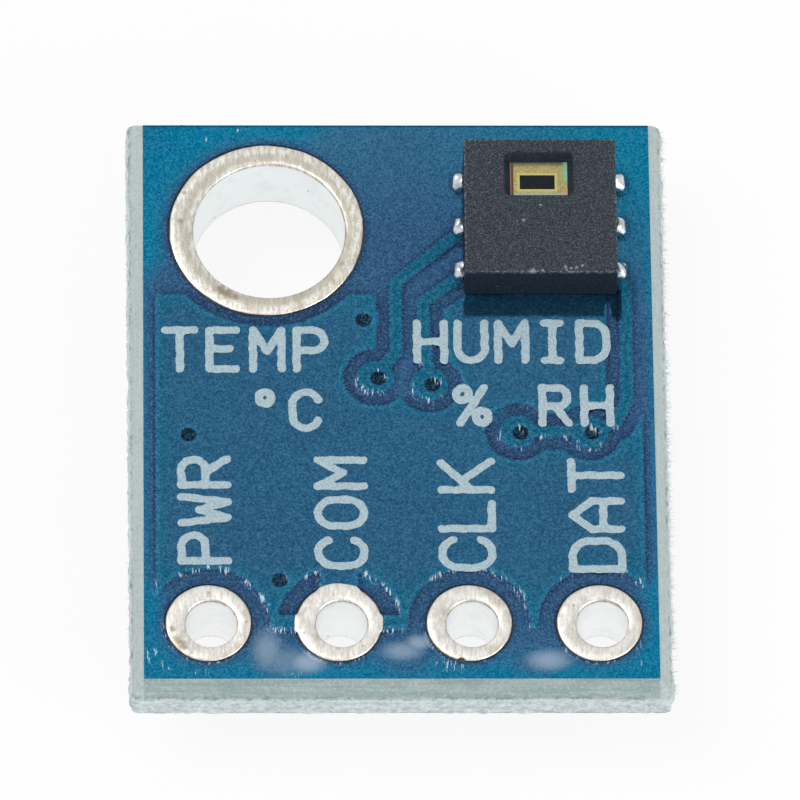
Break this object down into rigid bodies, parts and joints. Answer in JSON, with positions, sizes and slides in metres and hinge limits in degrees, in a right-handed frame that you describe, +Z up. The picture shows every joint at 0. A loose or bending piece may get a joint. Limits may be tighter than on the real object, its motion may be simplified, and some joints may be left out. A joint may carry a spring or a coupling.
{
  "type": "temperature and humidity sensor module",
  "caption": "Small blue circuit board with a windowed temperature and humidity sensor chip, a plated mounting hole and a row of plated pin holes.",
  "frame": {"origin": "middle of the board's outline, at the height of the flat tops of the three largest parts on its back, on which it lies", "axes": "+X along the pin row from the input pin to the data pin, +Y from the pin row to the sensor's edge, +Z up out of the front face"},
  "size_m": [0.0106, 0.013, 0.0036],
  "materials": {
    "laminate": "glass-fibre laminate, translucent grey green, rough where it was snapped",
    "solder_mask": "blue solder mask, semi-gloss",
    "copper": "etched copper foil",
    "tinned_copper": "copper with a levelled tin coat, finely streaked",
    "via_copper": "plated copper",
    "sensor_mould": "dark grey moulding compound, matt",
    "package_mould": "black moulding compound, matt",
    "die": "silicon die with gold-coloured metal layers",
    "film": "dark film",
    "lead": "tin-plated copper alloy",
    "solder": "bright solder",
    "capacitor_ceramic": "brown ceramic",
    "alumina": "white alumina",
    "chip_end": "tin plating",
    "glaze": "black glass coat"
  },
  "bodies": {
    "root": {"laminate": "laminate", "top_solder_mask": "solder_mask", "bottom_solder_mask": "solder_mask", "ground_pour_top": "copper", "supply_track_top": "copper", "clock_track_top": "copper", "data_track_top": "copper", "spare_lands_top": "copper", "ground_pour_bottom": "copper", "input_track_bottom": "copper", "supply_track_bottom": "copper", "clock_sensor_track_bottom": "copper", "clock_host_track_bottom": "copper", "data_sensor_track_bottom": "copper", "data_host_track_bottom": "copper", "mounting_hole_barrel": "tinned_copper", "input_pin_barrel": "tinned_copper", "ground_pin_barrel": "tinned_copper", "clock_pin_barrel": "tinned_copper", "data_pin_barrel": "tinned_copper", "ground_via_barrels": "via_copper", "signal_via_barrels": "via_copper", "sensor_body": "sensor_mould", "sensor_die": "die", "humidity_film": "film", "sensor_paddle": "lead", "sensor_leads": "lead", "sensor_solder": "solder", "regulator_body": "package_mould", "regulator_leads": "lead", "regulator_solder": "solder", "clock_shifter_body": "package_mould", "clock_shifter_leads": "lead", "clock_shifter_solder": "solder", "data_shifter_body": "package_mould", "data_shifter_leads": "lead", "data_shifter_solder": "solder", "input_capacitor_body": "capacitor_ceramic", "input_capacitor_ends": "chip_end", "output_capacitor_body": "capacitor_ceramic", "output_capacitor_ends": "chip_end", "bypass_capacitor_body": "capacitor_ceramic", "bypass_capacitor_ends": "chip_end", "capacitor_solder": "solder", "clock_sensor_resistor_body": "alumina", "clock_sensor_resistor_ends": "chip_end", "clock_host_resistor_body": "alumina", "clock_host_resistor_ends": "chip_end", "data_sensor_resistor_body": "alumina", "data_sensor_resistor_ends": "chip_end", "data_host_resistor_body": "alumina", "data_host_resistor_ends": "chip_end", "resistor_coats": "glaze", "resistor_solder": "solder"}
  },
  "joints": []
}
